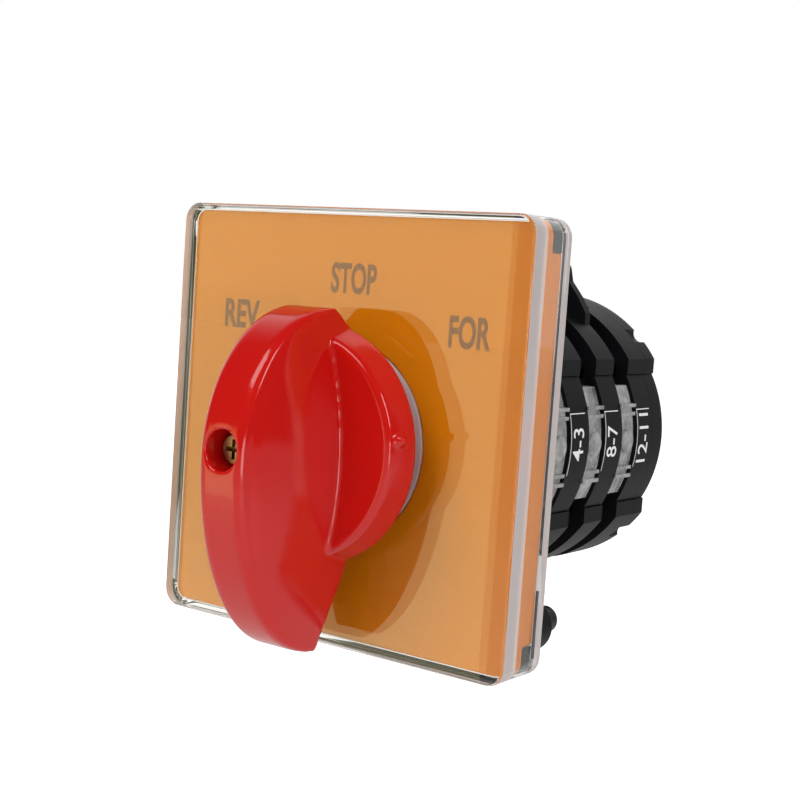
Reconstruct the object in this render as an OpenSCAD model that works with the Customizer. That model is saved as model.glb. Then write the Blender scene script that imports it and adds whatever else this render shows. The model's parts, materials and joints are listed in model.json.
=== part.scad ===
// Reversing drum switch with a square front plate, a turning paddle handle and three contact decks.
// The origin is on the switch axis in the panel plane. The handle points to -Y, the decks run to +Y.

/* [Front plate] */
// Width and height of the clear cover
cover_w = 64; // [63:0.25:66]
// Depth of the clear cover from its face to the panel plane
cover_depth = 10; // [9.5:0.25:11]
// Thickness of the clear cover's side walls
cover_wall = 0.8; // [0.7:0.05:0.9]
// Thickness of the clear cover's face
cover_face = 3.3; // [3:0.1:3.6]
// Corner radius of the clear cover
cover_corner_r = 2.8; // [2.4:0.1:3.2]
// Depth of the bead round the clear cover's rear edge
bead_depth = 2; // [1.8:0.1:2.2]
// Width of the bead, with the wall that carries it
bead_w = 2; // [1.8:0.1:2.2]
// Height of the plate's centre above the switch axis
plate_lift = 2; // [1.5:0.1:2.2]
// Thickness of the label plate
label_t = 1.2; // [1:0.1:1.4]
// Length of the label plate's cut corners along each side
label_cut = 4.2; // [4:0.1:4.6]
// Depth of the frame's clips in the label plate's cut corners
clip_depth = 2.6; // [2.2:0.1:3]
// Thickness of the front frame's plate
frame_t = 2; // [1.8:0.1:2.2]
// Distance from the cover's sides to the corner holes
mount_inset = 7; // [6.8:0.05:7.2]
// Radius of the two free corner holes
mount_hole_r = 2.25; // [2.2:0.05:2.3]
// Radius of the two fixed studs
stud_r = 2; // [1.9:0.05:2.05]
// Length of the studs behind the panel plane
stud_reach = 13; // [12:0.5:15]
// Radius of the round nuts on the studs
round_nut_r = 3.9; // [3.7:0.1:4.2]
// Thickness of the round nuts
round_nut_t = 4.4; // [4:0.1:5]
// Distance from the panel plane to the round nuts
panel_room = 4; // [3.5:0.1:5]

/* [Handle] */
// Radius of the handle's disc at its back
disc_r = 17.45; // [17:0.05:18]
// Radius of the handle's disc at its front
disc_front_r = 16.3; // [16:0.05:16.8]
// Thickness of the handle's disc
disc_t = 4.8; // [4.4:0.1:5.2]
// Gap between the clear cover and the handle's disc
disc_gap = 2.7; // [2.4:0.1:3.2]
// Distance from the front of the disc to the ridge of the blade
blade_reach = 16.1; // [15.5:0.1:16.6]
// Height of the blade's top above the switch axis
blade_top = 19.6; // [19:0.1:20.2]
// Depth of the blade's tail below the switch axis
blade_tail = 29.5; // [29:0.1:30.5]
// Width of the blade along its ridge
ridge_w = 7; // [6.8:0.1:7.6]
// Width of the blade at the disc
blade_base_w = 14.6; // [14:0.1:15.2]
// Radius of the handle's hub
hub_r = 11.5; // [11.2:0.05:11.8]
// Radius of the handle screw's head
screw_head_r = 1.9; // [1.8:0.05:2.2]
// Radius of the recess that the handle screw's head lies in
screw_recess_r = 2.8; // [2.6:0.05:2.9]
// Depth of the handle screw's head below the ridge
head_sink = 2.8; // [2.4:0.1:3.2]

/* [Switch body] */
// Depth of the latch housing and its plate behind the panel plane
latch_depth = 16.6; // [16.2:0.1:17.5]
// Thickness of the latch plate
latch_plate_t = 2.4; // [2.2:0.1:2.6]
// Distance from one deck to the next
deck_pitch = 11.3; // [11.1:0.05:11.8]
// Depth of the window in front of each deck's band
window_t = 5.2; // [5:0.05:5.4]
// Depth of the chamber that holds the contacts of a deck
chamber_depth = 8; // [7.9:0.05:8.2]
// Radius of the decks
body_r = 22; // [21.8:0.05:22.2]
// Wall of the decks above and below, outside the terminals
crown_wall = 2.3; // [2.1:0.05:2.5]
// Thickness of the end plate
end_t = 3.7; // [3.4:0.1:4.5]
// Radius of the circle that the tie bolts stand on
tie_circle_r = 19.65; // [19.6:0.05:19.7]
// Radius of the tie bolts
tie_bolt_r = 1.25; // [1.2:0.05:1.3]
// Radius of the boss round each tie bolt
tie_boss_r = 2.1; // [2:0.05:2.15]

/* [Rotor and latch] */
// Width of the square shaft
shaft_w = 6; // [5.8:0.05:6.1]
// Radius of the shaft's rear journal
journal_r = 2.9; // [2.7:0.05:2.95]
// Radius of the star wheel
star_r = 10.5; // [10.3:0.05:10.6]
// Depth of the star wheel's notches, which is the detents' travel
notch_depth = 0.9; // [0.8:0.05:1]
// Thickness of the star wheel
star_t = 5.6; // [5.2:0.1:5.8]
// Angle that the handle turns from the middle to either side
throw_angle = 45; // [40:1:45]

/* [Contacts] */
// Mean radius of the cams
cam_r = 7; // [6.9:0.05:7.05]
// Thickness of the cams
cam_t = 6.6; // [6.2:0.1:6.8]
// Travel of a contact from the middle to either side
contact_travel = 0.9; // [0.8:0.05:0.95]
// Width and thickness of the plungers
plunger_w = 4.4; // [4.2:0.05:4.45]
// Thickness of the fixed contact strips
strip_t = 0.8; // [0.7:0.05:0.9]
// Radius of the terminal screws' heads
terminal_head_r = 2.9; // [2.7:0.05:3]

/* [Hidden] */
$fn = 96;

// How far a cut runs past the face that it opens, and a joined piece into its neighbour
overrun = 1;
sink = 0.4;
// Clearances: a turning fit, a sliding fit, a loose hole, and a cam's follower
turn_gap = 0.05;
slide_gap = 0.1;
hole_gap = 0.1;
cam_gap = 0.15;

// Front plate
cover_inner_r = cover_corner_r - cover_wall;
bead_corner_r = 0.6;
frame_w = cover_w - 2 * (bead_w + hole_gap);
label_w = cover_w - 2 * (cover_wall + hole_gap);
label_front = cover_face + hole_gap - cover_depth;
label_wall = label_t;
label_corner_r = cover_inner_r - hole_gap;
clip_front = -frame_t - clip_depth;
frame_core_share = 0.9;
frame_core_w = frame_w * frame_core_share;
mount_boss_w = 10;
mount_spacing = cover_w - 2 * mount_inset;
collar_r = 14.8;
collar_spigot_r = 13;
cover_hole_gap = 0.5;
cover_hole_r = hub_r + cover_hole_gap;
mount_places = [[1, 1], [-1, -1]];
stud_places = [[1, -1], [-1, 1]];

// Handle
disc_back = -cover_depth - disc_gap;
disc_front = disc_back - disc_t;
ridge_y = disc_front - blade_reach;
hub_end = -sink;
disc_lip_share = 0.35;
disc_lip = disc_t * disc_lip_share;
blade_nose_inset = 1.5;
blade_mid_y = disc_front + blade_nose_inset;
blade_mid_z = -1;
blade_arc_steps = 24;
// Rear corners of the blade: the tip of the tail and the top, as shares of the disc's thickness and radius
tail_tip_share = 0.55;
tail_root_share = 0.95;
top_root_share = 0.97;
blade_span = blade_top + blade_tail;
lens_rise = (blade_base_w - ridge_w) / 2;
lens_r = (pow(blade_span / 2, 2) + pow(lens_rise, 2)) / (2 * lens_rise);
flare_steps = 6;
head_t = 2;
head_seat = ridge_y + head_sink + head_t;
screw_r = 1.2;
screw_depth = 8;
cross_w = 0.6;
cross_share = 0.72;
cross_depth = 1;

// Rotor and latch
shaft_front = disc_front + head_t;
latch_wall = 2.4;
star_front = latch_plate_t + hole_gap * 6;
star_rear = star_front + star_t;
star_hub_r = 5;
star_nose_r = 1.8;
stop_t = 2.6;
stop_gap = 0.4;
lug_front = star_rear;
lug_rear = lug_front + stop_t;
lug_half_angle = 8;
lug_r = 15;
stop_half_angle = 4;
stop_clear_angle = 1;
stop_inner_r = 12.2;
stop_angle = throw_angle + lug_half_angle + stop_clear_angle + stop_half_angle;
latch_cavity_r = 18;
latch_floor = latch_depth - latch_wall;
notch_count = 8;
detent_nose_r = 1.6;
detent_w = 5;
detent_rear_x = 15.6;
detent_front = star_front + slide_gap * 2;
detent_rear = star_rear - slide_gap * 2;
detent_y = (detent_front + detent_rear) / 2;
detent_spring_end = latch_cavity_r - slide_gap * 2;
rail_t = 1;
detent_rail_x = 12;
spring_outer_r = 1.7;
spring_inner_r = 1.25;

// Decks
deck_count = 3;
decks_end = latch_depth + deck_count * deck_pitch;
journal_front = decks_end - hole_gap;
shaft_rear = decks_end + end_t;
floor_hole_r = 5;
tie_angle = 40.25;
tie_x = tie_circle_r * cos(tie_angle);
tie_z = tie_circle_r * sin(tie_angle);
tie_places = [for (x = [-1, 1], z = [-1, 1]) [x * tie_x, z * tie_z]];
crown_z = 10.9;
crown_half_w = 19.4;
chamber_r = 18.4;
chamber_half_h = 9.2;
cheek_t = 1;
cheek_outer_x = 17.6;
column_inner_x = 1.2;
column_outer_x = 13.2;
column_wall_t = 1.2;
column_wall_z = 16.4;
mouth_x = 9.8;
seat_inner_x = 3.2;
seat_outer_x = 10.2;
seat_low_z = 12.6;
seat_z = 15.6;
strip_x = 11.8;
strip_gap = 0.62;
crown_r = norm([strip_x + strip_t, seat_z + strip_t]) + strip_gap + crown_wall;
terminal_x = (seat_inner_x + seat_outer_x) / 2 + hole_gap;
terminal_y = chamber_depth / 2;
terminal_shank_r = 1.5;
terminal_head_t = 2.2;
terminal_slot_w = 0.8;
terminal_slot_depth = 1;
clamp_w = 6.2;
clamp_t = 1;
// Barrier between two decks: half of its outline, from its foot to its top
barrier_t = 1.7;
barrier_foot_z = 17.5;
barrier_top_z = 28.8;
barrier_points = [
    [0, barrier_foot_z], [14.3, barrier_foot_z], [14.3, 20.7], [12.6, 23.4],
    [10.6, 25.8], [10.1, 28], [9.6, barrier_top_z], [0, barrier_top_z]
];
window_inner_r = 19.9;
window_outer_r = 21.4;
dome_r = 2;
dome_in_x = 17.9;
dome_out_x = 21.8;
rib_z = 5.2;
rib_pitch = 1.4;
rib_t = 0.6;
rib_out_x = 21.5;

// Contacts. The cam's radius falls evenly with the angle above the X axis, up to the cam's law angle.
cam_law_angle = 60;
cam_step = 5;
cam_front = (chamber_depth - cam_t) / 2;
nose_r = 1.2;
tip_x = cam_r + cam_gap;
plunger_t = plunger_w - sink;
mid_y = window_t / 2;
guide_x = 8.7;
guide_end_x = 11.5;
strip_low_z = 3.2;
strip_w = 4;
tab_front = 0.7;
tab_w = 6.4;
pad_r = 1.2;
pad_t = 0.4;
pad_z = 4.8;
fixed_face_x = strip_x + strip_t + pad_t;
moving_face_x = fixed_face_x + contact_travel + turn_gap;
bridge_x = moving_face_x + pad_t;
bridge_t = 0.9;
bridge_half_h = 6.4;
bridge_w = 3.6;
pin_r = 1.05;
pin_end_x = dome_in_x - contact_travel - slide_gap * 2;

// Fasteners of the body
tie_head_r = 2.3;
tie_head_t = 2;
tie_nut_r = 2.8;
tie_nut_t = 2.4;
nut_seat = decks_end + end_t - tie_nut_t;
// Dents in the end plate's edge beside the tie bolts
dent_angle = 46.8;
dent_r = 1.6;
dent_depth = 0.9;

// Place of the front of deck number i, counted from 1
function deck_front(i) = latch_depth + (i - 1) * deck_pitch;

// Angle above the X axis of the direction a, between -90 and 90
function elevation(a) = asin(sin(a));

// Radius of the cam in the direction a
function cam_radius(a) =
    cam_r - contact_travel * max(-cam_law_angle, min(cam_law_angle, elevation(a))) / throw_angle;

// Lays an outline in X and Z and makes it solid between two places along Y
module slab(front, rear) {
    translate([0, rear, 0])
        rotate([90, 0, 0])
            linear_extrude(rear - front)
                children();
}

// Lays an outline in Y and Z and makes it solid between two places along X
module across(x_from, x_to) {
    translate([x_from, 0, 0])
        rotate([90, 0, 90])
            linear_extrude(x_to - x_from)
                children();
}

module rounded_square(w, r) {
    square([w, w - 2 * r], center = true);
    square([w - 2 * r, w], center = true);
    for (x = [-1, 1], z = [-1, 1])
        translate([x * (w / 2 - r), z * (w / 2 - r)])
            circle(r = r);
}

module cut_square(w, cut) {
    polygon([
        [w / 2 - cut, w / 2], [w / 2, w / 2 - cut], [w / 2, cut - w / 2], [w / 2 - cut, -w / 2],
        [cut - w / 2, -w / 2], [-w / 2, cut - w / 2], [-w / 2, w / 2 - cut], [cut - w / 2, w / 2]
    ]);
}

module ring(outer, inner) {
    difference() {
        circle(r = outer);
        circle(r = inner);
    }
}

module sector(from, to, inner, outer) {
    steps = 4;
    polygon(concat(
        [for (i = [0:steps]) let (a = from + (to - from) * i / steps) [inner * cos(a), inner * sin(a)]],
        [for (i = [steps:-1:0]) let (a = from + (to - from) * i / steps) [outer * cos(a), outer * sin(a)]]
    ));
}

module at_places(places, spacing) {
    for (p = places)
        translate([p[0] * spacing / 2, 0, p[1] * spacing / 2])
            children();
}

module both_sides() {
    for (side = [0, 1])
        mirror([side, 0, 0])
            children();
}

module four_ways() {
    for (side = [0, 1], end = [0, 1])
        mirror([side, 0, 0])
            mirror([0, 0, end])
                children();
}

module four_ways_flat() {
    for (side = [0, 1], end = [0, 1])
        mirror([side, 0])
            mirror([0, end])
                children();
}

module tie_holes() {
    for (p = tie_places)
        translate(p)
            circle(r = tie_bolt_r + hole_gap);
}

// Outline of a deck: a drum with a boss at each tie bolt and a wider crown above and below
module deck_outline() {
    circle(r = body_r);
    for (p = tie_places)
        translate(p)
            circle(r = tie_boss_r);
    intersection() {
        circle(r = crown_r);
        four_ways_flat()
            translate([0, crown_z])
                square([crown_half_w, crown_r]);
    }
}

module cover() {
    color([0.86, 0.9, 0.92, 0.35])
        difference() {
            translate([0, 0, plate_lift])
                slab(-cover_depth, 0)
                    rounded_square(cover_w, cover_corner_r);
            translate([0, 0, plate_lift])
                slab(cover_face - cover_depth, -bead_depth)
                    rounded_square(cover_w - 2 * cover_wall, cover_inner_r);
            translate([0, 0, plate_lift])
                slab(-bead_depth - sink, overrun)
                    rounded_square(cover_w - 2 * bead_w, bead_corner_r);
            slab(-cover_depth - overrun, 0)
                circle(r = cover_hole_r);
        }
}

module label_plate() {
    color("orange")
        difference() {
            translate([0, 0, plate_lift]) {
                slab(label_front, clip_front)
                    rounded_square(label_w, label_corner_r);
                slab(clip_front - sink, -frame_t)
                    cut_square(label_w, label_cut);
            }
            translate([0, 0, plate_lift])
                slab(label_front + label_t, overrun)
                    cut_square(label_w - 2 * label_wall, label_cut);
            slab(label_front - overrun, 0)
                circle(r = collar_r + hole_gap);
        }
}

module front_frame() {
    color("dimgray")
        difference() {
            translate([0, 0, plate_lift]) {
                slab(-frame_t, 0)
                    square(frame_core_w, center = true);
                slab(-frame_t, 0)
                    intersection() {
                        rounded_square(frame_w, bead_corner_r);
                        four_ways_flat()
                            translate([frame_w / 2 - mount_boss_w, frame_w / 2 - mount_boss_w])
                                square(mount_boss_w);
                    }
                slab(clip_front + hole_gap, -frame_t)
                    frame_clips();
                slab(-frame_t - sink, 0)
                    intersection() {
                        rounded_square(frame_w, bead_corner_r);
                        frame_clips();
                    }
            }
            slab(-frame_t - overrun, overrun) {
                circle(r = collar_spigot_r + turn_gap);
                tie_holes();
            }
            at_places(mount_places, mount_spacing)
                slab(-frame_t - overrun, overrun)
                    circle(r = mount_hole_r);
            at_places(stud_places, mount_spacing)
                slab(-frame_t - overrun, overrun)
                    circle(r = stud_r + turn_gap);
        }
}

// Outlines of the four clips that stand in the label plate's cut corners
module frame_clips() {
    difference() {
        rounded_square(label_w, label_corner_r);
        cut_square(label_w + 2 * hole_gap, label_cut);
    }
}

module collar() {
    color("lightgray") {
        slab(label_front, -frame_t)
            ring(collar_r, hub_r + turn_gap);
        slab(-frame_t - sink, 0)
            ring(collar_spigot_r, hub_r + turn_gap);
    }
}

module mounting_studs() {
    color("gainsboro")
        at_places(stud_places, mount_spacing)
            slab(-frame_t, stud_reach)
                circle(r = stud_r);
}

module mounting_nuts() {
    color("black")
        at_places(stud_places, mount_spacing)
            slab(panel_room, panel_room + round_nut_t)
                ring(round_nut_r, stud_r + turn_gap);
}

// Side view of the blade: two quarter ellipses in front and straight edges behind
module blade_side() {
    depth = blade_mid_y - ridge_y;
    polygon(concat(
        [[disc_back, top_root_share * disc_r]],
        [for (i = [0:blade_arc_steps])
            let (
                a = 90 + 180 * i / blade_arc_steps,
                reach = a < 180 ? blade_top - blade_mid_z : blade_tail + blade_mid_z
            )
                [blade_mid_y + depth * cos(a), blade_mid_z + reach * sin(a)]],
        [[disc_back - tail_tip_share * disc_t, -blade_tail], [disc_back, -tail_root_share * disc_r]]
    ));
}

// Section of the blade across its length: narrow at the ridge and flared towards the disc
module blade_flare() {
    run = disc_front - ridge_y;
    half = [for (i = [0:flare_steps])
        let (t = i / flare_steps) [ridge_w / 2 + lens_rise * t * t, ridge_y + run * t]];
    both_sides_flat()
        polygon(concat([[0, ridge_y]], half, [[blade_base_w / 2, disc_back], [0, disc_back]]));
}

module handle() {
    color("red")
        difference() {
            union() {
                rotate([-90, 0, 0])
                    rotate_extrude()
                        polygon([
                            [0, disc_front], [disc_front_r, disc_front], [disc_r, disc_back - disc_lip],
                            [disc_r, disc_back], [hub_r, disc_back], [hub_r, hub_end], [0, hub_end]
                        ]);
                intersection() {
                    across(-blade_base_w, blade_base_w)
                        blade_side();
                    translate([0, 0, -blade_tail])
                        linear_extrude(blade_span)
                            blade_flare();
                    slab(ridge_y, disc_back)
                        translate([0, blade_top - blade_span / 2])
                            intersection_for (side = [-1, 1])
                                translate([side * (lens_r - blade_base_w / 2), 0])
                                    circle(r = lens_r);
                }
            }
            slab(ridge_y - overrun, head_seat)
                circle(r = screw_recess_r);
            slab(ridge_y, 0)
                circle(r = screw_r + hole_gap);
            slab(shaft_front - hole_gap, overrun)
                square(shaft_w + 2 * turn_gap, center = true);
        }
}

module handle_screw() {
    color("darkkhaki")
        difference() {
            union() {
                slab(head_seat - head_t, head_seat)
                    circle(r = screw_head_r);
                slab(head_seat - sink, shaft_front + screw_depth)
                    circle(r = screw_r);
            }
            for (turn = [0, 90])
                rotate([0, turn, 0])
                    slab(head_seat - head_t - overrun, head_seat - head_t + cross_depth)
                        square([2 * cross_share * screw_head_r, cross_w], center = true);
        }
}

module shaft() {
    color("silver")
        difference() {
            union() {
                slab(shaft_front, journal_front)
                    square(shaft_w, center = true);
                slab(journal_front - sink, shaft_rear)
                    circle(r = journal_r);
            }
            slab(shaft_front - overrun, shaft_front + screw_depth + hole_gap)
                circle(r = screw_r + turn_gap);
        }
}

module star_wheel() {
    color("ivory")
        difference() {
            union() {
                slab(hole_gap, star_rear)
                    circle(r = star_hub_r);
                slab(star_front, star_rear)
                    difference() {
                        circle(r = star_r);
                        for (i = [0:notch_count - 1])
                            rotate(i * 360 / notch_count)
                                translate([star_r - notch_depth - slide_gap + star_nose_r, 0])
                                    circle(r = star_nose_r);
                    }
                slab(lug_front - sink, lug_rear) {
                    circle(r = star_hub_r + star_nose_r);
                    sector(-90 - lug_half_angle, -90 + lug_half_angle, star_hub_r, lug_r);
                }
            }
            slab(0, lug_rear + overrun)
                square(shaft_w + 2 * turn_gap, center = true);
        }
}

module cam(i) {
    front = deck_front(i) + cam_front;
    color("ivory")
        slab(front, front + cam_t)
            difference() {
                polygon([for (a = [0:cam_step:360 - cam_step]) cam_radius(a) * [cos(a), sin(a)]]);
                square(shaft_w + 2 * turn_gap, center = true);
            }
}

module latch_plate() {
    color("dimgray")
        slab(0, latch_plate_t)
            difference() {
                deck_outline();
                circle(r = star_hub_r + turn_gap);
                tie_holes();
            }
}

module latch_housing() {
    color("dimgray") {
        difference() {
            slab(latch_plate_t, latch_depth)
                difference() {
                    deck_outline();
                    tie_holes();
                }
            slab(latch_plate_t - overrun, latch_floor)
                difference() {
                    circle(r = latch_cavity_r);
                    for (p = tie_places)
                        translate(p)
                            circle(r = tie_boss_r);
                }
            slab(latch_plate_t, latch_depth + overrun)
                circle(r = floor_hole_r);
        }
        slab(lug_rear - stop_t + stop_gap, latch_floor + sink)
            for (side = [-1, 1])
                rotate(-90 + side * stop_angle)
                    sector(-stop_half_angle, stop_half_angle, stop_inner_r, latch_cavity_r + sink);
        slab(star_front, latch_floor + sink)
            four_ways_flat()
                translate([detent_rail_x, detent_w / 2 + slide_gap])
                    square([latch_cavity_r * cos(asin(detent_w / latch_cavity_r)) - detent_rail_x, rail_t]);
    }
}

module detent() {
    nose_x = star_r + slide_gap + detent_nose_r;
    color("silver")
        slab(detent_front, detent_rear) {
            translate([nose_x, 0])
                circle(r = detent_nose_r);
            translate([nose_x, -detent_w / 2])
                square([detent_rear_x - nose_x, detent_w]);
        }
}

module detent_spring() {
    color("silver")
        across(detent_rear_x, detent_spring_end)
            translate([detent_y, 0])
                ring(spring_outer_r, spring_inner_r);
}

// Walls of a deck that stand in the window layer as well as in the chamber
module deck_walls() {
    for (p = tie_places)
        translate(p)
            circle(r = tie_boss_r);
    four_ways_flat() {
        translate([column_outer_x, chamber_half_h])
            square([cheek_outer_x - column_outer_x, cheek_t]);
        translate([column_outer_x, chamber_half_h])
            square([column_wall_t, column_wall_z - chamber_half_h]);
        translate([0, seat_low_z])
            square([column_inner_x, crown_r - seat_low_z - sink]);
        translate([column_inner_x - sink, seat_low_z])
            square([seat_outer_x - column_inner_x + sink, cheek_t]);
    }
}

// Hollow of a deck: the chamber, the terminal columns with their mouths, and a pocket at each tie bolt
module deck_hollow() {
    intersection() {
        circle(r = chamber_r);
        square([2 * chamber_r, 2 * chamber_half_h], center = true);
    }
    intersection() {
        circle(r = crown_r - crown_wall);
        four_ways_flat() {
            translate([0, chamber_half_h - overrun])
                square([column_outer_x, crown_r]);
            translate([column_outer_x + column_wall_t, chamber_half_h + cheek_t])
                square([crown_half_w - crown_wall - column_outer_x - column_wall_t, crown_r]);
        }
    }
    four_ways_flat()
        translate([0, chamber_half_h])
            square([mouth_x, crown_r]);
}

module deck_housing(i) {
    front = deck_front(i);
    band = front + window_t;
    rear = front + deck_pitch;
    floor = front + chamber_depth;
    color("dimgray")
        difference() {
            union() {
                difference() {
                    slab(band, rear)
                        deck_outline();
                    slab(band - overrun, floor)
                        deck_hollow();
                }
                slab(front, floor + sink)
                    deck_walls();
                if (i < deck_count)
                    slab(rear - barrier_t, rear)
                        both_sides_flat()
                            polygon(barrier_points);
                slab(front + slide_gap, floor + sink)
                    four_ways_flat() {
                        translate([seat_inner_x, seat_low_z])
                            square([seat_outer_x - seat_inner_x, seat_z - seat_low_z]);
                        translate([guide_x, plunger_w / 2 + slide_gap])
                            square([guide_end_x - guide_x, rail_t]);
                    }
                slab(front + mid_y + plunger_t / 2 + slide_gap, floor + sink)
                    both_sides_flat()
                        translate([guide_x, -plunger_w / 2 - rail_t])
                            square([guide_end_x - guide_x, plunger_w + 2 * rail_t]);
            }
            slab(band, rear + overrun)
                circle(r = floor_hole_r);
            slab(front - overrun, rear + overrun)
                tie_holes();
            four_ways()
                translate([terminal_x, front + terminal_y, seat_low_z - overrun])
                    cylinder(r = terminal_shank_r + hole_gap, h = seat_z - seat_low_z + 2 * overrun);
        }
}

module both_sides_flat() {
    for (side = [0, 1])
        mirror([side, 0])
            children();
}

module deck_windows(i) {
    front = deck_front(i) + turn_gap;
    rear = deck_front(i) + window_t - turn_gap;
    color([0.85, 0.88, 0.9, 0.45])
        both_sides() {
            slab(front, rear)
                difference() {
                    intersection() {
                        ring(window_outer_r, window_inner_r);
                        translate([0, slide_gap - chamber_half_h])
                            square([window_outer_r, 2 * (chamber_half_h - slide_gap)]);
                    }
                    for (p = tie_places)
                        translate(p)
                            circle(r = tie_boss_r + slide_gap);
                }
            across(dome_in_x, dome_out_x)
                translate([deck_front(i) + mid_y, 0])
                    circle(r = dome_r);
            for (end = [-1, 1], side = [-1, 1])
                translate([window_inner_r, front, end * rib_z + side * rib_pitch / 2 - rib_t / 2])
                    cube([rib_out_x - window_inner_r, rear - front, rib_t]);
        }
}

module fixed_contacts(i) {
    front = deck_front(i);
    color("goldenrod")
        four_ways()
            difference() {
                union() {
                    translate([strip_x, front + mid_y - strip_w / 2, strip_low_z])
                        cube([strip_t, strip_w, seat_z + strip_t - strip_low_z]);
                    translate([seat_inner_x, front + tab_front, seat_z])
                        cube([strip_x + strip_t - seat_inner_x, tab_w, strip_t]);
                    across(strip_x + strip_t / 2, fixed_face_x)
                        translate([front + mid_y, pad_z])
                            circle(r = pad_r);
                }
                translate([terminal_x, front + terminal_y, seat_z - overrun])
                    cylinder(r = terminal_shank_r + hole_gap, h = strip_t + 2 * overrun);
            }
}

module terminal_clamps(i) {
    color("silver")
        four_ways()
            translate([terminal_x, deck_front(i) + terminal_y, seat_z + strip_t])
                difference() {
                    translate([-clamp_w / 2, -clamp_w / 2, 0])
                        cube([clamp_w, clamp_w, clamp_t]);
                    translate([0, 0, -overrun])
                        cylinder(r = terminal_shank_r + hole_gap, h = clamp_t + 2 * overrun);
                }
}

module terminal_screws(i) {
    shank = seat_z + strip_t + clamp_t - seat_low_z;
    color("khaki")
        four_ways()
            translate([terminal_x, deck_front(i) + terminal_y, seat_low_z])
                difference() {
                    union() {
                        cylinder(r = terminal_shank_r, h = shank + sink);
                        translate([0, 0, shank])
                            cylinder(r = terminal_head_r, h = terminal_head_t);
                    }
                    translate([0, 0, shank + terminal_head_t - terminal_slot_depth])
                        linear_extrude(terminal_slot_depth + overrun)
                            square([2 * (terminal_head_r + overrun), terminal_slot_w], center = true);
                }
}

module plunger(i) {
    mid = deck_front(i) + mid_y;
    color("ivory") {
        slab(mid - plunger_t / 2, mid + plunger_t / 2) {
            translate([tip_x + nose_r, 0])
                circle(r = nose_r);
            translate([tip_x + nose_r, -nose_r])
                square([nose_r + sink, 2 * nose_r]);
            translate([tip_x + 2 * nose_r, -plunger_w / 2])
                square([bridge_x - tip_x - 2 * nose_r, plunger_w]);
        }
        across(bridge_x - sink, pin_end_x)
            translate([mid, 0])
                circle(r = pin_r);
    }
}

module bridge(i) {
    mid = deck_front(i) + mid_y;
    color("peru")
        difference() {
            union() {
                across(bridge_x, bridge_x + bridge_t)
                    translate([mid - bridge_w / 2, -bridge_half_h])
                        square([bridge_w, 2 * bridge_half_h]);
                for (end = [-1, 1])
                    across(moving_face_x, bridge_x + sink)
                        translate([mid, end * pad_z])
                            circle(r = pad_r);
            }
            across(bridge_x - overrun, bridge_x + bridge_t + overrun)
                translate([mid, 0])
                    circle(r = pin_r + turn_gap);
        }
}

module contact_spring(i) {
    color("silver")
        across(bridge_x + bridge_t, dome_in_x)
            translate([deck_front(i) + mid_y, 0])
                ring(spring_outer_r, spring_inner_r);
}

module end_plate() {
    color("dimgray")
        difference() {
            slab(decks_end, decks_end + end_t)
                difference() {
                    deck_outline();
                    circle(r = journal_r + turn_gap);
                    tie_holes();
                    four_ways_flat()
                        rotate(dent_angle)
                            translate([crown_r + dent_r - dent_depth, 0])
                                circle(r = dent_r);
                }
            slab(nut_seat, decks_end + end_t + overrun)
                for (p = tie_places)
                    translate(p)
                        circle(r = tie_nut_r + hole_gap, $fn = 6);
        }
}

module tie_bolts() {
    color("silver")
        for (p = tie_places)
            translate([p[0], 0, p[1]]) {
                slab(-frame_t - tie_head_t, -frame_t)
                    circle(r = tie_head_r);
                slab(-frame_t - sink, decks_end + end_t)
                    circle(r = tie_bolt_r);
            }
}

module tie_nuts() {
    color("silver")
        for (p = tie_places)
            translate([p[0], 0, p[1]])
                slab(nut_seat, decks_end + end_t)
                    difference() {
                        circle(r = tie_nut_r, $fn = 6);
                        circle(r = tie_bolt_r + turn_gap);
                    }
}

cover();
label_plate();
front_frame();
collar();
mounting_studs();
mounting_nuts();
handle();
handle_screw();
shaft();
star_wheel();
cam(1);  // cam_1
cam(2);  // cam_2
cam(3);  // cam_3
latch_plate();
latch_housing();
detent();  // detent_right
mirror([1, 0, 0]) detent();  // detent_left
detent_spring();  // detent_spring_right
mirror([1, 0, 0]) detent_spring();  // detent_spring_left
deck_housing(1);  // deck_housing_1
deck_housing(2);  // deck_housing_2
deck_housing(3);  // deck_housing_3
deck_windows(1);  // deck_windows_1
deck_windows(2);  // deck_windows_2
deck_windows(3);  // deck_windows_3
fixed_contacts(1);  // fixed_contacts_1
fixed_contacts(2);  // fixed_contacts_2
fixed_contacts(3);  // fixed_contacts_3
terminal_clamps(1);  // terminal_clamps_1
terminal_clamps(2);  // terminal_clamps_2
terminal_clamps(3);  // terminal_clamps_3
terminal_screws(1);  // terminal_screws_1
terminal_screws(2);  // terminal_screws_2
terminal_screws(3);  // terminal_screws_3
plunger(1);  // plunger_right_1
plunger(2);  // plunger_right_2
plunger(3);  // plunger_right_3
mirror([1, 0, 0]) plunger(1);  // plunger_left_1
mirror([1, 0, 0]) plunger(2);  // plunger_left_2
mirror([1, 0, 0]) plunger(3);  // plunger_left_3
bridge(1);  // bridge_right_1
bridge(2);  // bridge_right_2
bridge(3);  // bridge_right_3
mirror([1, 0, 0]) bridge(1);  // bridge_left_1
mirror([1, 0, 0]) bridge(2);  // bridge_left_2
mirror([1, 0, 0]) bridge(3);  // bridge_left_3
contact_spring(1);  // contact_spring_right_1
contact_spring(2);  // contact_spring_right_2
contact_spring(3);  // contact_spring_right_3
mirror([1, 0, 0]) contact_spring(1);  // contact_spring_left_1
mirror([1, 0, 0]) contact_spring(2);  // contact_spring_left_2
mirror([1, 0, 0]) contact_spring(3);  // contact_spring_left_3
end_plate();
tie_bolts();
tie_nuts();
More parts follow.
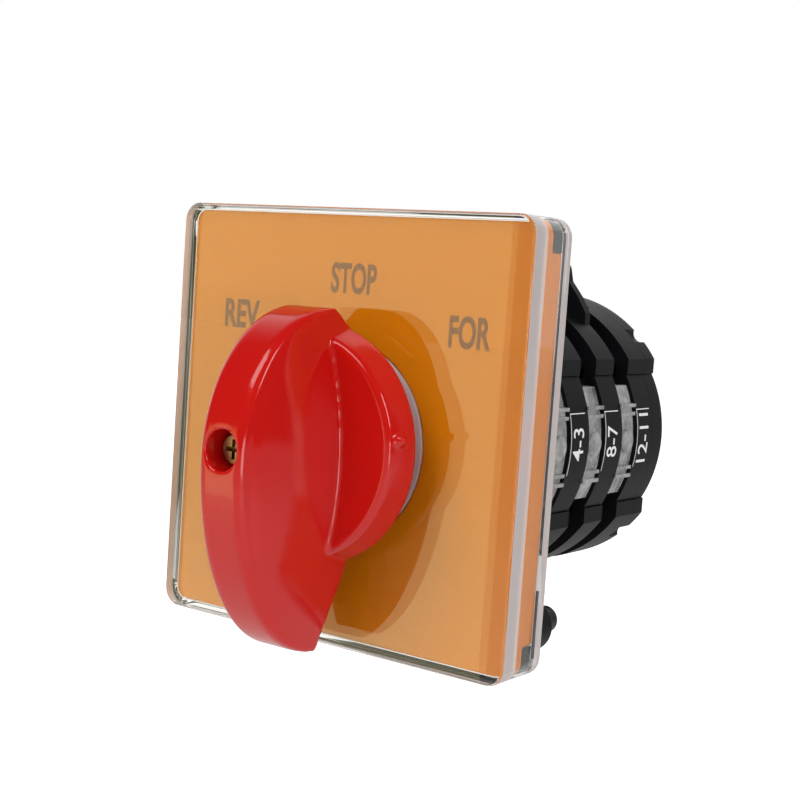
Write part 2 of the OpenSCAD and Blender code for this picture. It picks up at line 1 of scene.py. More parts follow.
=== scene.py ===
# %% [markdown]
# # A reversing drum switch
# The frame holds every rigid piece of the switch at its real size. This notebook dresses it: a glossy red
# paddle handle, an orange label plate behind a clear acrylic cover, and three black contact decks behind.
# Sizes are in metres. The switch axis is Y, the handle points to -Y, and the panel lies at y = 0.

# %% Load the frame
import json
import math

import bmesh
import bpy
from mathutils import Matrix, Vector


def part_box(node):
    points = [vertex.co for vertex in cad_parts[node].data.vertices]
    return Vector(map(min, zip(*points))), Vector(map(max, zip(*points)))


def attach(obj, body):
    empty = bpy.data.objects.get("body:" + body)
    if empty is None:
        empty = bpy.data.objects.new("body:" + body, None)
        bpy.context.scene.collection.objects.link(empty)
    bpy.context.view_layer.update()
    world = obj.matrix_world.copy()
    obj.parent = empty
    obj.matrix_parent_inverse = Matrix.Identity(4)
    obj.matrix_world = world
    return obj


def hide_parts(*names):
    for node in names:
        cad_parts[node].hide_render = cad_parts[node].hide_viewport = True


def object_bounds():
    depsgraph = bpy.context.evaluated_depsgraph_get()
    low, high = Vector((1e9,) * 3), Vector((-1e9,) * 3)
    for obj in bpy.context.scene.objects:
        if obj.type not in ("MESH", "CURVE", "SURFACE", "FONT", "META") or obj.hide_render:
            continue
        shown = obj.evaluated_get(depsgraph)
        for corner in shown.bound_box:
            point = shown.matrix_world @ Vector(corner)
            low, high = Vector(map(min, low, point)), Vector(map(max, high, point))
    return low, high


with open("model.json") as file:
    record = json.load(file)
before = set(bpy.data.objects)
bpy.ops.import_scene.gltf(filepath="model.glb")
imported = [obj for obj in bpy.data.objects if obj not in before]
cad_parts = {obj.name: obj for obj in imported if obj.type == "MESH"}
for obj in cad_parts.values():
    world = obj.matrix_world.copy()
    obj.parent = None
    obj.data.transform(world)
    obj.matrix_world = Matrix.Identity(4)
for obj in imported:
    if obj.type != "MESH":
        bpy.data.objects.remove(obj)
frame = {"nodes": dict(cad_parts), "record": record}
cad_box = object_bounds()
scene = bpy.context.scene
MM = 0.001
print("nodes:", len(frame["nodes"]))

# %% [markdown]
# ## Camera
# The photograph is taken from the right and a little above. The camera is placed by its own axes: a yaw
# round Z, a pitch down and a small roll, found by fitting the plate's corners and the round disc.

# %% Camera
CAMERA_PLACE = Vector((128.9, -172.45, 24.24)) * MM
CAMERA_YAW = 0.6241
CAMERA_PITCH = 0.0843
CAMERA_ROLL = 0.0681
FOCAL_PIXELS = 1428.8
IMAGE_PIXELS = 800
SENSOR_WIDTH = 36.0


def make_camera():
    """Places the camera by its own axes, so that nothing has to be aimed."""
    forward = Vector((
        -math.sin(CAMERA_YAW) * math.cos(CAMERA_PITCH),
        math.cos(CAMERA_YAW) * math.cos(CAMERA_PITCH),
        -math.sin(CAMERA_PITCH),
    ))
    level = Vector((math.cos(CAMERA_YAW), math.sin(CAMERA_YAW), 0.0))
    above = level.cross(forward)
    right = math.cos(CAMERA_ROLL) * level + math.sin(CAMERA_ROLL) * above
    up = right.cross(forward)
    data = bpy.data.cameras.new("camera")
    data.sensor_width = SENSOR_WIDTH
    data.lens = FOCAL_PIXELS / IMAGE_PIXELS * SENSOR_WIDTH
    data.clip_start = 0.01
    camera = bpy.data.objects.new("camera", data)
    turn = Matrix((right, up, -forward)).transposed()
    camera.matrix_world = Matrix.Translation(CAMERA_PLACE) @ turn.to_4x4()
    scene.collection.objects.link(camera)
    scene.camera = camera
    print("camera lens", round(data.lens, 1), "mm")


make_camera()

# %% [markdown]
# ## Helpers for meshes
# A finished piece keeps its object at the origin, with its place in its mesh, and names the body it rides on.
# CAD meshes come as loose triangles, so a copy is merged before its edges are rounded with a bevel.


# %% Mesh helpers
def new_piece(name, mesh):
    """Links an object at the origin that shows the mesh."""
    piece = bpy.data.objects.new(name, mesh)
    scene.collection.objects.link(piece)
    return piece


def mesh_from(name, build):
    """Makes a mesh by calling build on an empty bmesh."""
    shape = bmesh.new()
    build(shape)
    mesh = bpy.data.meshes.new(name)
    shape.to_mesh(mesh)
    shape.free()
    return mesh


def bake_modifiers(piece):
    """Replaces the piece's mesh by the evaluated one and takes the modifiers off."""
    evaluated = piece.evaluated_get(bpy.context.evaluated_depsgraph_get())
    mesh = bpy.data.meshes.new_from_object(evaluated)
    piece.modifiers.clear()
    piece.data = mesh
    return piece


def shade_by_angle(mesh, degrees):
    """Smooths the shading except across edges that are sharper than the angle."""
    shape = bmesh.new()
    shape.from_mesh(mesh)
    limit = math.radians(degrees)
    for face in shape.faces:
        face.smooth = True
    for edge in shape.edges:
        edge.smooth = len(edge.link_faces) == 2 and edge.calc_face_angle(0.0) < limit
    shape.to_mesh(mesh)
    shape.free()


BEVEL_SEGMENTS = 3
BEVEL_FROM_DEGREES = 25
SMOOTH_BELOW_DEGREES = 40


def rounded_copy(node, width):
    """Copies a CAD node, merges its triangles into clean faces and rounds its sharp edges."""
    mesh = frame["nodes"][node].data.copy()
    shape = bmesh.new()
    shape.from_mesh(mesh)
    bmesh.ops.remove_doubles(shape, verts=shape.verts, dist=0.001 * MM)
    bmesh.ops.dissolve_limit(
        shape, angle_limit=math.radians(0.5), verts=shape.verts, edges=shape.edges)
    shape.to_mesh(mesh)
    shape.free()
    mesh.materials.clear()
    piece = new_piece(node + "_dressed", mesh)
    bevel = piece.modifiers.new("round edges", "BEVEL")
    bevel.width = width
    bevel.segments = BEVEL_SEGMENTS
    bevel.limit_method = "ANGLE"
    bevel.angle_limit = math.radians(BEVEL_FROM_DEGREES)
    bevel.use_clamp_overlap = True
    bake_modifiers(piece)
    shade_by_angle(piece.data, SMOOTH_BELOW_DEGREES)
    flat = piece.modifiers.new("flat faces stay flat", "WEIGHTED_NORMAL")
    flat.keep_sharp = True
    bake_modifiers(piece)
    return piece


def finish_piece(piece, body, slot, material, *replaced):
    """Gives the piece its material and body, and hides the CAD nodes that it takes the place of; slot is not
    used.
    """
    piece.data.materials.clear()
    piece.data.materials.append(material)
    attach(piece, body)
    if replaced:
        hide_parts(*replaced)


print("mesh helpers ready")

# %% [markdown]
# ## Materials
# Moulded plastic is never quite even: it has a faint grain, slow drifts of tone and small marks. One shared
# group makes these from Object coordinates, so every plastic here uses it with its own values.

# %% Shared surface group
def make_surface_group():
    """Noise in Object coordinates drives the tone, the roughness and the height of a moulded surface."""
    group = bpy.data.node_groups.new("moulded surface", "ShaderNodeTree")
    face = group.interface
    for name, kind, value in (
        ("Color", "NodeSocketColor", (0.5, 0.5, 0.5, 1.0)),
        ("Tone", "NodeSocketFloat", 0.06),
        ("Roughness", "NodeSocketFloat", 0.3),
        ("Roughness Spread", "NodeSocketFloat", 0.08),
        ("Drift Scale", "NodeSocketFloat", 90.0),
        ("Grain Scale", "NodeSocketFloat", 2500.0),
    ):
        socket = face.new_socket(name=name, in_out="INPUT", socket_type=kind)
        socket.default_value = value
    for name, kind in (
        ("Color", "NodeSocketColor"), ("Roughness", "NodeSocketFloat"), ("Height", "NodeSocketFloat"),
    ):
        face.new_socket(name=name, in_out="OUTPUT", socket_type=kind)
    nodes, links = group.nodes, group.links
    source = nodes.new("NodeGroupInput")
    result = nodes.new("NodeGroupOutput")
    place = nodes.new("ShaderNodeTexCoord")
    drift = nodes.new("ShaderNodeTexNoise")
    drift.inputs["Detail"].default_value = 4.0
    grain = nodes.new("ShaderNodeTexNoise")
    grain.inputs["Detail"].default_value = 2.0
    for noise, scale in ((drift, "Drift Scale"), (grain, "Grain Scale")):
        links.new(place.outputs["Object"], noise.inputs["Vector"])
        links.new(source.outputs[scale], noise.inputs["Scale"])
    centred = nodes.new("ShaderNodeMath")
    centred.operation = "SUBTRACT"
    centred.inputs[1].default_value = 0.5
    links.new(drift.outputs["Fac"], centred.inputs[0])
    swing = nodes.new("ShaderNodeMath")
    swing.operation = "MULTIPLY_ADD"
    swing.inputs[2].default_value = 1.0
    links.new(centred.outputs[0], swing.inputs[0])
    links.new(source.outputs["Tone"], swing.inputs[1])
    tint = nodes.new("ShaderNodeVectorMath")
    tint.operation = "SCALE"
    links.new(source.outputs["Color"], tint.inputs[0])
    links.new(swing.outputs[0], tint.inputs["Scale"])
    gloss = nodes.new("ShaderNodeMath")
    gloss.operation = "MULTIPLY_ADD"
    links.new(centred.outputs[0], gloss.inputs[0])
    links.new(source.outputs["Roughness Spread"], gloss.inputs[1])
    links.new(source.outputs["Roughness"], gloss.inputs[2])
    links.new(tint.outputs[0], result.inputs["Color"])
    links.new(gloss.outputs[0], result.inputs["Roughness"])
    links.new(grain.outputs["Fac"], result.inputs["Height"])
    return group


surface_group = make_surface_group()
BUMP_DEPTH = 0.05 * MM
print("surface group sockets:", [item.name for item in surface_group.interface.items_tree])

# %% [markdown]
# ## Plastics, inks and metals
# Each finish is one call with its own colour, gloss and grain. The colours are linear, so their numbers are
# smaller than those of the same colour on a screen.


# %% Plastics, inks and metals
def surfaced_material(name, color, roughness, tone=0.06, spread=0.08, drift=90.0, grain=2500.0,
                      bump=0.02, metallic=0.0, mirror=0.5):
    """A Principled material whose colour, roughness and bump come from the shared group.

    tone and spread set how far colour and roughness drift, and mirror how strongly the surface reflects.
    """
    material = bpy.data.materials.new(name)
    material.use_nodes = True
    nodes, links = material.node_tree.nodes, material.node_tree.links
    shader = nodes["Principled BSDF"]
    shader.inputs["Metallic"].default_value = metallic
    shader.inputs["Specular IOR Level"].default_value = mirror
    skin = nodes.new("ShaderNodeGroup")
    skin.node_tree = surface_group
    skin.inputs["Color"].default_value = (*color, 1.0)
    skin.inputs["Tone"].default_value = tone
    skin.inputs["Roughness"].default_value = roughness
    skin.inputs["Roughness Spread"].default_value = spread
    skin.inputs["Drift Scale"].default_value = drift
    skin.inputs["Grain Scale"].default_value = grain
    bumps = nodes.new("ShaderNodeBump")
    bumps.inputs["Strength"].default_value = bump
    bumps.inputs["Distance"].default_value = BUMP_DEPTH
    links.new(skin.outputs["Color"], shader.inputs["Base Color"])
    links.new(skin.outputs["Roughness"], shader.inputs["Roughness"])
    links.new(skin.outputs["Height"], bumps.inputs["Height"])
    links.new(bumps.outputs["Normal"], shader.inputs["Normal"])
    return material


red_plastic = surfaced_material("red handle plastic", (0.53, 0.006, 0.004), 0.11, bump=0.03, grain=900.0)
orange_plastic = surfaced_material("orange label plastic", (0.55, 0.17, 0.003), 0.5, tone=0.05, mirror=0.0)
black_plastic = surfaced_material(
    "black housing plastic", (0.0035, 0.0037, 0.005), 0.45, tone=0.5, bump=0.3, mirror=0.14)
grey_plastic = surfaced_material("grey bush plastic", (0.45, 0.38, 0.40), 0.4)
white_plastic = surfaced_material("ivory moving plastic", (0.72, 0.70, 0.62), 0.35)
legend_ink = surfaced_material(
    "brown grey legend ink", (0.175, 0.042, 0.016), 0.8, tone=0.3, drift=600.0, mirror=0.05)
white_ink = surfaced_material("white deck ink", (0.85, 0.85, 0.83), 0.5, tone=0.1, drift=900.0)
plated_steel = surfaced_material(
    "plated steel", (0.62, 0.62, 0.60), 0.28, metallic=1.0, tone=0.15, grain=5000.0)
blackened_steel = surfaced_material(
    "blackened steel", (0.05, 0.05, 0.05), 0.4, metallic=1.0, tone=0.3, grain=5000.0)
yellow_zinc = surfaced_material(
    "yellow zinc plate", (0.36, 0.24, 0.12), 0.35, metallic=1.0, tone=0.9, drift=700.0)
brass = surfaced_material("brass strip", (0.72, 0.50, 0.22), 0.28, metallic=1.0, tone=0.25, drift=300.0)
copper = surfaced_material("copper strip", (0.75, 0.38, 0.22), 0.28, metallic=1.0, tone=0.25, drift=300.0)
print("materials:", len(bpy.data.materials))

# %% [markdown]
# ## Clear plastic
# Acrylic is glass to the renderer. Its shadow would be black without caustics, so shadow rays pass through it
# by a Light Path switch, which keeps the label plate behind it lit.

# %% Clear materials
ACRYLIC_IOR = 1.49
WAVE_SCALE = 180.0
WAVE_DEPTH = 0.1 * MM


def clear_material(name, color, roughness, wave, shade=0.9, through=1.0, tone=0.05, drift=200.0):
    """Acrylic.

    wave is the strength of the surface's slow waves, shade the share of light that its shadow lets through,
    through the share that passes straight and isn't scattered, and tone how far its colour drifts.
    """
    material = bpy.data.materials.new(name)
    material.use_nodes = True
    nodes, links = material.node_tree.nodes, material.node_tree.links
    shader = nodes["Principled BSDF"]
    shader.inputs["Transmission Weight"].default_value = through
    shader.inputs["IOR"].default_value = ACRYLIC_IOR
    skin = nodes.new("ShaderNodeGroup")
    skin.node_tree = surface_group
    skin.inputs["Color"].default_value = (*color, 1.0)
    skin.inputs["Tone"].default_value = tone
    skin.inputs["Roughness"].default_value = roughness
    skin.inputs["Roughness Spread"].default_value = roughness
    skin.inputs["Drift Scale"].default_value = drift
    skin.inputs["Grain Scale"].default_value = WAVE_SCALE
    bumps = nodes.new("ShaderNodeBump")
    bumps.inputs["Strength"].default_value = wave
    bumps.inputs["Distance"].default_value = WAVE_DEPTH
    links.new(skin.outputs["Color"], shader.inputs["Base Color"])
    links.new(skin.outputs["Roughness"], shader.inputs["Roughness"])
    links.new(skin.outputs["Height"], bumps.inputs["Height"])
    links.new(bumps.outputs["Normal"], shader.inputs["Normal"])
    path = nodes.new("ShaderNodeLightPath")
    open_way = nodes.new("ShaderNodeBsdfTransparent")
    open_way.inputs["Color"].default_value = (shade, shade, shade, 1.0)
    mix = nodes.new("ShaderNodeMixShader")
    links.new(path.outputs["Is Shadow Ray"], mix.inputs["Fac"])
    links.new(shader.outputs["BSDF"], mix.inputs[1])
    links.new(open_way.outputs["BSDF"], mix.inputs[2])
    links.new(mix.outputs[0], nodes["Material Output"].inputs["Surface"])
    return material


cover_edge = clear_material("cut acrylic edge", (0.74, 0.66, 0.64), 0.12, 0.02, through=0.35)
cover_acrylic = clear_material("clear cover acrylic", (0.98, 0.965, 0.955), 0.0, 0.004)
window_acrylic = clear_material(
    "clear window acrylic", (0.58, 0.58, 0.57), 0.06, 0.8, shade=0.8, through=0.6, tone=2.2, drift=420.0)
print("clear materials:", cover_edge.name, "/", cover_acrylic.name, "/", window_acrylic.name)

# %% [markdown]
# ## The handle
# The real handle is one glossy moulding: a round disc, a tall blade that flares from a narrow ridge into
# the disc, and a tail that hangs below. Its edges are soft. The blade is laid out as a sheet over its side
# view, joined with a lathed disc, and the whole is remeshed in small voxels, which melts the parts together
# and rounds every edge as the mould does.

# %% Handle sizes
DISC_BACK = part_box("cover")[0][1] - 2.7 * MM
DISC_FRONT = DISC_BACK - 4.8 * MM
DISC_R = 17.4 * MM
DISC_FRONT_R = 16.25 * MM
RIDGE_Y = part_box("handle")[0][1] + 0.05 * MM
BLADE_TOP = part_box("handle")[1][2] - 0.05 * MM
BLADE_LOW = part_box("handle")[0][2] + 0.05 * MM
BLADE_MID_Y = DISC_FRONT + 1.5 * MM
BLADE_MID_Z = -1.0 * MM
RIDGE_HALF = 4.1 * MM
RIDGE_ROUND = 1.5 * MM
BASE_HALF = 7.2 * MM
HUB_R = 11.45 * MM
TAIL_ROOT_Z = -16.6 * MM
TOP_ROOT_Z = 16.9 * MM
FLARE_POWER = 0.62
DISH_DEPTH = 0.9 * MM
HUB_END_Y = -0.5 * MM
SCREW_SEAT_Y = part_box("handle_screw")[0][1] + 2.0 * MM
SCREW_RECESS_R = 2.8 * MM
SCREW_SHANK_R = 1.35 * MM
GATE_MARK_PLACE = Vector((16.85, -15.8, 2.4)) * MM
GATE_MARK_R = 0.75 * MM
VOXEL = 0.32 * MM
print("handle front", round(RIDGE_Y / MM, 2), "top", round(BLADE_TOP / MM, 2))


def blade_front(z):
    """Place along Y of the blade's front edge at height z, on two quarter ellipses."""
    reach = (BLADE_TOP - BLADE_MID_Z) if z > BLADE_MID_Z else (BLADE_MID_Z - BLADE_LOW)
    share = min(1.0, abs(z - BLADE_MID_Z) / reach)
    return BLADE_MID_Y + (RIDGE_Y - BLADE_MID_Y) * math.sqrt(1.0 - share * share)


def blade_back(z):
    """Place along Y of the blade's back: inside the disc, and sloping forward along the tail and the top."""
    if z < TAIL_ROOT_Z:
        share = (TAIL_ROOT_Z - z) / (TAIL_ROOT_Z - BLADE_LOW)
        return DISC_BACK + (BLADE_MID_Y + 0.6 * MM - DISC_BACK) * share
    if z > TOP_ROOT_Z:
        share = (z - TOP_ROOT_Z) / (BLADE_TOP - TOP_ROOT_Z)
        return DISC_BACK + (BLADE_MID_Y + 0.3 * MM - DISC_BACK) * share
    return DISC_BACK


def base_half(z):
    """Half width of the blade where it meets the disc: a lens over its height."""
    middle = (BLADE_TOP + BLADE_LOW) / 2
    share = (z - middle) / (BLADE_TOP - middle)
    return BASE_HALF - (BASE_HALF - RIDGE_HALF) * share * share


# %% Blade and disc
def build_blade(shape, rows=72, columns=18, turns=6):
    """Stacks rings from the blade's top to its tail; each goes from the ridge's round edge down the flank."""
    rings = []
    for i in range(rows + 1):
        angle = math.pi * i / rows
        height = (BLADE_TOP + BLADE_LOW) / 2 + (BLADE_TOP - BLADE_LOW) / 2 * math.cos(angle)
        front, back = blade_front(height), blade_back(height)
        run = max(back - front, 0.02 * MM)
        spread = base_half(height) - RIDGE_HALF
        edge = min(RIDGE_ROUND, 0.45 * run)
        half = []
        for j in range(turns):
            turn = math.pi / 2 * j / turns
            half.append((RIDGE_HALF - edge * (1 - math.sin(turn)), front + edge * (1 - math.cos(turn))))
        for j in range(columns + 1):
            along = edge + (run - edge) * j / columns
            reach = min(1.0, (along - edge) / (DISC_FRONT - RIDGE_Y - RIDGE_ROUND))
            half.append((RIDGE_HALF + spread * reach ** FLARE_POWER, front + along))
        ring = [shape.verts.new((x, y, height)) for x, y in half]
        ring += [shape.verts.new((-x, y, height)) for x, y in reversed(half)]
        rings.append(ring)
    for upper, lower in zip(rings, rings[1:]):
        count = len(upper)
        for j in range(count):
            k = (j + 1) % count
            shape.faces.new((upper[j], lower[j], lower[k], upper[k]))
    shape.faces.new(rings[0])
    shape.faces.new(list(reversed(rings[-1])))
    bmesh.ops.recalc_face_normals(shape, faces=shape.faces)


def build_disc(shape, steps=128, dish_steps=8):
    """Turns a profile round the axis: a dished front, a slanted rim, and the hub behind."""
    profile = [(0.0, DISC_FRONT + DISH_DEPTH)]
    for i in range(1, dish_steps + 1):
        share = i / dish_steps
        profile.append(((DISC_FRONT_R - 0.9 * MM) * share, DISC_FRONT + DISH_DEPTH * (1 - share ** 2)))
    profile += [
        (DISC_FRONT_R - 0.3 * MM, DISC_FRONT + 0.1 * MM), (DISC_FRONT_R, DISC_FRONT + 0.5 * MM),
        (DISC_R, DISC_BACK - 0.6 * MM), (DISC_R - 0.2 * MM, DISC_BACK),
        (HUB_R, DISC_BACK), (HUB_R, HUB_END_Y), (0.0, HUB_END_Y),
    ]
    rings = []
    for r, y in profile:
        if r == 0.0:
            rings.append([shape.verts.new((0.0, y, 0.0))])
            continue
        rings.append([
            shape.verts.new((r * math.cos(2 * math.pi * k / steps), y, r * math.sin(2 * math.pi * k / steps)))
            for k in range(steps)])
    for first, second in zip(rings, rings[1:]):
        for k in range(steps):
            n = (k + 1) % steps
            quad = [
                first[k % len(first)], first[n % len(first)], second[n % len(second)], second[k % len(second)]]
            shape.faces.new(list(dict.fromkeys(quad)))
    bmesh.ops.recalc_face_normals(shape, faces=shape.faces)


def build_cutter(shape):
    """The screw's round recess in the ridge, and the bore of its shank."""
    for radius, start, end in (
        (SCREW_RECESS_R, RIDGE_Y - 2 * MM, SCREW_SEAT_Y), (SCREW_SHANK_R, RIDGE_Y, -2 * MM),
    ):
        bmesh.ops.create_cone(
            shape, cap_ends=True, segments=64, radius1=radius, radius2=radius, depth=end - start,
            matrix=Matrix.Translation((0, (start + end) / 2, 0)) @ Matrix.Rotation(math.radians(90), 4, "X"))


def build_gate_mark(shape):
    """The small round mark that the mould's gate leaves on the disc's side."""
    bmesh.ops.create_uvsphere(
        shape, u_segments=24, v_segments=12, radius=GATE_MARK_R,
        matrix=Matrix.Translation(GATE_MARK_PLACE))


def boolean(piece, other, operation):
    """Joins or cuts the piece with the other one, which is used up."""
    change = piece.modifiers.new(operation, "BOOLEAN")
    change.operation = operation
    change.solver = "EXACT"
    change.object = other
    bake_modifiers(piece)
    bpy.data.objects.remove(other)


def make_handle():
    """Joins the handle's parts, then melts them together in voxels and smooths what the voxels leave."""
    handle = new_piece("handle_dressed", mesh_from("handle", build_blade))
    boolean(handle, new_piece("disc", mesh_from("disc", build_disc)), "UNION")
    boolean(handle, new_piece("gate mark", mesh_from("gate mark", build_gate_mark)), "UNION")
    boolean(handle, new_piece("cutter", mesh_from("cutter", build_cutter)), "DIFFERENCE")
    voxels = handle.modifiers.new("voxels", "REMESH")
    voxels.mode = "VOXEL"
    voxels.voxel_size = VOXEL
    voxels.use_smooth_shade = True
    soften = handle.modifiers.new("soften", "SMOOTH")
    soften.factor = 0.5
    soften.iterations = 3
    bake_modifiers(handle)
    finish_piece(handle, "rotor", "red_plastic", red_plastic, "handle")
    print("handle faces", len(handle.data.polygons))


make_handle()

# %% [markdown]
# ## Front plate
# The cover, label plate and frame keep their CAD shapes. Their edges get a small round, because a moulded
# edge always catches a thin line of light.

# %% Cover, label plate, frame and collar
for node, slot, material, width in (
    ("cover", "clear_plastic", cover_acrylic, 0.45 * MM),
    ("label_plate", "orange_plastic", orange_plastic, 0.25 * MM),
    ("front_frame", "black_plastic", black_plastic, 0.12 * MM),
    ("collar", "grey_plastic", grey_plastic, 0.2 * MM),
    ("mounting_nuts", "black_plastic", black_plastic, 0.35 * MM),
):
    finish_piece(rounded_copy(node, width), "base", slot, material, node)

# %% [markdown]
# ## Cut edges
# The sides of the thick clear face and of the bead scatter light, as sawn acrylic does, so they look pale.

# %% Cut edges of the cover
BEAD_DEPTH = 2.0 * MM
EDGE_ROUND = 0.3 * MM


def frost_edges(piece, edge_material):
    """Gives the outer side faces of the thick face and of the rear bead the look of a cut acrylic edge."""
    box_low, box_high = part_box("cover")
    face_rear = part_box("label_plate")[0][1] - 0.1 * MM
    bead_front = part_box("front_frame")[1][1] - BEAD_DEPTH
    middle_z = (box_low[2] + box_high[2]) / 2
    half = (box_high[0] - box_low[0]) / 2
    shape = bmesh.new()
    shape.from_mesh(piece.data)
    for y in (face_rear, bead_front):
        bmesh.ops.bisect_plane(
            shape, geom=shape.verts[:] + shape.edges[:] + shape.faces[:], dist=0.0001 * MM,
            plane_co=(0, y, 0), plane_no=(0, 1, 0))
    count = 0
    for face in shape.faces:
        place = face.calc_center_median()
        outer = max(abs(place.x), abs(place.z - middle_z)) > half - 1.0 * MM
        in_band = (box_low[1] + EDGE_ROUND < place.y < face_rear) or place.y > bead_front
        if outer and in_band and abs(face.normal.y) < 0.3:
            face.material_index = 1
            count += 1
    shape.to_mesh(piece.data)
    shape.free()
    piece.data.materials.append(edge_material)
    print("cut edge faces", count)


frost_edges(bpy.data.objects["cover_dressed"], cover_edge)

# %% [markdown]
# ## Legend
# The position words are printed on the back of the clear face, a little in front of the orange plate, so
# they look soft. Each word is a text curve turned into a thin mesh and fitted to its measured box.

# %% Words
INK_HEIGHT = 0.02 * MM


def place_word(name, text, material, slot, low, high, turn, bold):
    """Fits a word into the box low..high of its own plane and lets turn lay each point in place."""
    curve = bpy.data.curves.new(name, "FONT")
    curve.body = text
    curve.extrude = 0.5
    curve.offset = bold
    holder = new_piece(name, curve)
    mesh = bpy.data.meshes.new_from_object(holder.evaluated_get(bpy.context.evaluated_depsgraph_get()))
    bpy.data.objects.remove(holder)
    xs = [v.co.x for v in mesh.vertices]
    ys = [v.co.y for v in mesh.vertices]
    for v in mesh.vertices:
        across = low[0] + (high[0] - low[0]) * (v.co.x - min(xs)) / (max(xs) - min(xs))
        above = low[1] + (high[1] - low[1]) * (v.co.y - min(ys)) / (max(ys) - min(ys))
        v.co = turn(across, above, v.co.z * INK_HEIGHT)
    finish_piece(new_piece(name, mesh), "base", slot, material)
    print(name, "faces", len(mesh.polygons))


LEGEND_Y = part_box("label_plate")[0][1] - 0.03 * MM
for name, text, low, high in (
    ("word_stop", "STOP", (-3.4, 21.6), (4.9, 26.1)),
    ("word_forward", "FOR", (18.0, 15.2), (24.9, 19.8)),
    ("word_reverse", "REV", (-24.0, 15.1), (-17.0, 19.5)),
):
    place_word(
        name, text, legend_ink, "orange_plastic", [a * MM for a in low], [a * MM for a in high],
        lambda across, above, out: Vector((across, LEGEND_Y - out, above)), bold=0.03)

# %% [markdown]
# ## Decks
# The black wafers and windows keep their CAD shapes with rounded edges.

# %% Deck bodies
DECKS = (1, 2, 3)
for i in DECKS:
    for node, slot, material, width in (
        (f"deck_housing_{i}", "black_plastic", black_plastic, 0.22 * MM),
        (f"deck_windows_{i}", "window_plastic", window_acrylic, 0.2 * MM),
    ):
        finish_piece(rounded_copy(node, width), "base", slot, material, node)
for node in ("latch_plate", "latch_housing", "end_plate"):
    finish_piece(rounded_copy(node, 0.25 * MM), "base", "black_plastic", black_plastic, node)

# %% [markdown]
# ## Deck marks
# Each band carries its two terminal numbers in white, read from below, inside the corner of a thin white
# line. The flat words are bent onto the drum: a length along the band becomes an angle round the axis.

# %% Numbers and lines on the bands
MARK_R = 22.0 * MM
MARK_TURN = 0.3 * MM
MARK_LIFT = 0.01 * MM
MARK_LOW = -4.4 * MM
MARK_HIGH = -1.1 * MM
CORNER_LINE = (((-4.8, -0.46), (5.0, -0.3)), ((4.84, -5.0), (5.0, -0.3)))


def on_band(front, turned):
    """Returns a function that lays a flat point (along the band, across it) onto the drum at its front edge."""
    def place(along, across, out):
        angle = (along + turned) / MARK_R
        reach = MARK_R + MARK_LIFT + out
        return Vector((reach * math.cos(angle), front - across, reach * math.sin(angle)))
    return place


def line_mesh(strips, place, steps=24):
    """Makes thin raised strips, each given by its low and high corner on the flat band."""
    def build(shape):
        for low, high in strips:
            rows = []
            for k in range(steps + 1):
                along = (low[0] + (high[0] - low[0]) * k / steps) * MM
                rows.append([
                    shape.verts.new(place(along, side * MM, INK_HEIGHT)) for side in (low[1], high[1])])
            for first, second in zip(rows, rows[1:]):
                shape.faces.new((first[0], first[1], second[1], second[0]))
        bmesh.ops.recalc_face_normals(shape, faces=shape.faces)
        if sum(face.normal.x for face in shape.faces) < 0:
            bmesh.ops.reverse_faces(shape, faces=shape.faces)
    return mesh_from("band line", build)


MARKS = (("4-3", 2.6), ("8-7", 2.6), ("12-11", 4.2))
for i, (text, half) in zip(DECKS, MARKS):
    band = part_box(f"deck_windows_{i}")[1][1] + 0.05 * MM
    place = on_band(band, MARK_TURN)
    place_word(
        f"deck_{i}_numbers", text, white_ink, "white_plastic", (-half * MM, MARK_LOW), (half * MM, MARK_HIGH),
        place, bold=0.004)
    line = new_piece(f"deck_{i}_line", line_mesh(CORNER_LINE, place))
    finish_piece(line, "base", "white_plastic", white_ink)

# %% [markdown]
# ## Metal and moving parts
# These keep their CAD meshes, so only their material slots and their shading change. The studs are the one
# steel part that is blackened.

# %% Metal and moving parts
FINISHES = {
    "plated_steel": plated_steel, "yellow_zinc": yellow_zinc, "brass": brass, "copper": copper,
    "white_plastic": white_plastic,
}
METAL_SMOOTH_DEGREES = 25
OWN_FINISHES = {"mounting_studs": blackened_steel}
for entry in frame["record"]["subparts"]:
    if entry["material_slot"] in FINISHES:
        node = frame["nodes"][entry["node"]]
        finish = OWN_FINISHES.get(entry["node"], FINISHES[entry["material_slot"]])
        node.data.materials.clear()
        node.data.materials.append(finish)
        shade_by_angle(node.data, METAL_SMOOTH_DEGREES)
print("finishes:", sorted(FINISHES))

# %% [markdown]
# ## Floor and light
# The floor is pale and the backdrop is white to the camera and to glass, and to mirrors that look that way; the
# rest of the room is dim, so that glossy red and black keep their depth. The clear cover mirrors one broad,
# even panel at the left as a pale veil. The panel stands where the camera's rays go after the cover reflects
# them, and ends just short of the cover's right side.

# %% Stage and world
FLOOR_DROP = 0.11
FLOOR_HALF = 3.0
FLOOR_GLOW = 0.65
BACKDROP_WAY = (-0.58, 0.81, -0.08)


